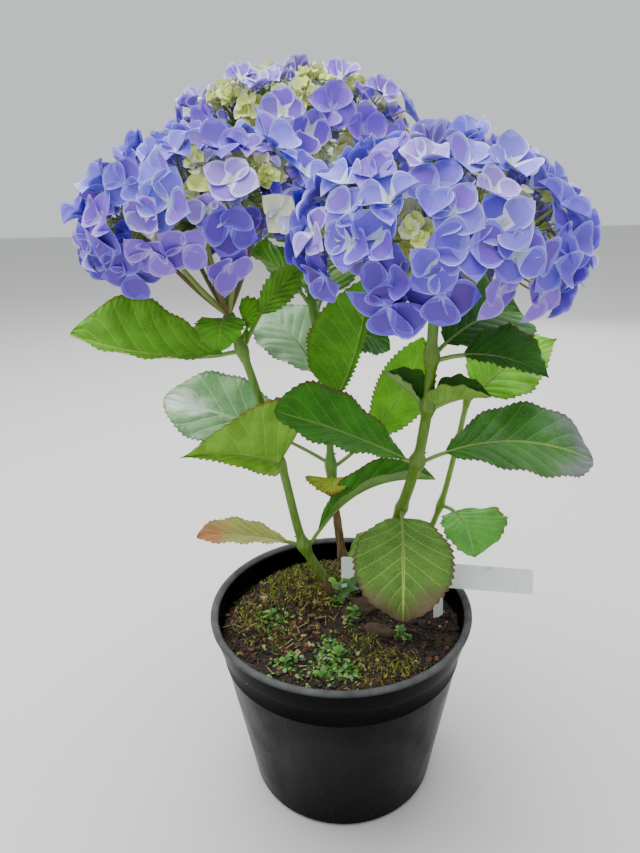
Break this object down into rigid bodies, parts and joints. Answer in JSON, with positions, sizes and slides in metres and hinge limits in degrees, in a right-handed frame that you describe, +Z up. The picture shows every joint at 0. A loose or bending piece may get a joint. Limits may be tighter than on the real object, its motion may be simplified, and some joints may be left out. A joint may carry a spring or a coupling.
{
  "type": "potted hydrangea shrub",
  "caption": "Young mophead hydrangea in a black nursery pot: four stems, three domed blue-violet flower heads, broad toothed leaves and two blank labels.",
  "frame": {"origin": "centre of the flat underside of the pot", "axes": "+Z up, -Y towards the front (the side in the picture), +X to the right"},
  "size_m": [0.341, 0.2676, 0.5027],
  "materials": {
    "pot_plastic": "satin",
    "compost": "matt, crumbly",
    "green_stem": "satin, woody at the foot",
    "leaf": "satin",
    "flower": "matt",
    "label_plastic": "satin"
  },
  "bodies": {
    "root": {"pot": "pot_plastic", "soil": "compost", "stem_left": "green_stem", "stem_back": "green_stem", "stem_right": "green_stem", "stem_slim": "green_stem", "leaf_left_long": "leaf", "leaf_left_bract": "leaf", "leaf_left_small": "leaf", "leaf_left_rising": "leaf", "leaf_left_folded": "leaf", "leaf_left_low": "leaf", "leaf_left_arching": "leaf", "leaf_back_silvery": "leaf", "leaf_back_translucent": "leaf", "leaf_back_pale": "leaf", "leaf_back_upright": "leaf", "leaf_back_small": "leaf", "leaf_back_bronze": "leaf", "leaf_back_foot": "leaf", "leaf_back_upper": "leaf", "leaf_back_collar": "leaf", "leaf_back_tuft": "leaf", "leaf_back_rear": "leaf", "leaf_back_far": "leaf", "leaf_right_left": "leaf", "leaf_right_right": "leaf", "leaf_right_bud_left": "leaf", "leaf_right_bud_right": "leaf", "leaf_right_upper": "leaf", "leaf_right_rear": "leaf", "leaf_right_hanging": "leaf", "leaf_slim_far": "leaf", "leaf_slim_drooping": "leaf", "plant_label": "label_plastic", "small_tag": "label_plastic", "flower_head_right": "flower", "flower_head_left": "flower", "flower_head_back": "flower"}
  },
  "joints": []
}
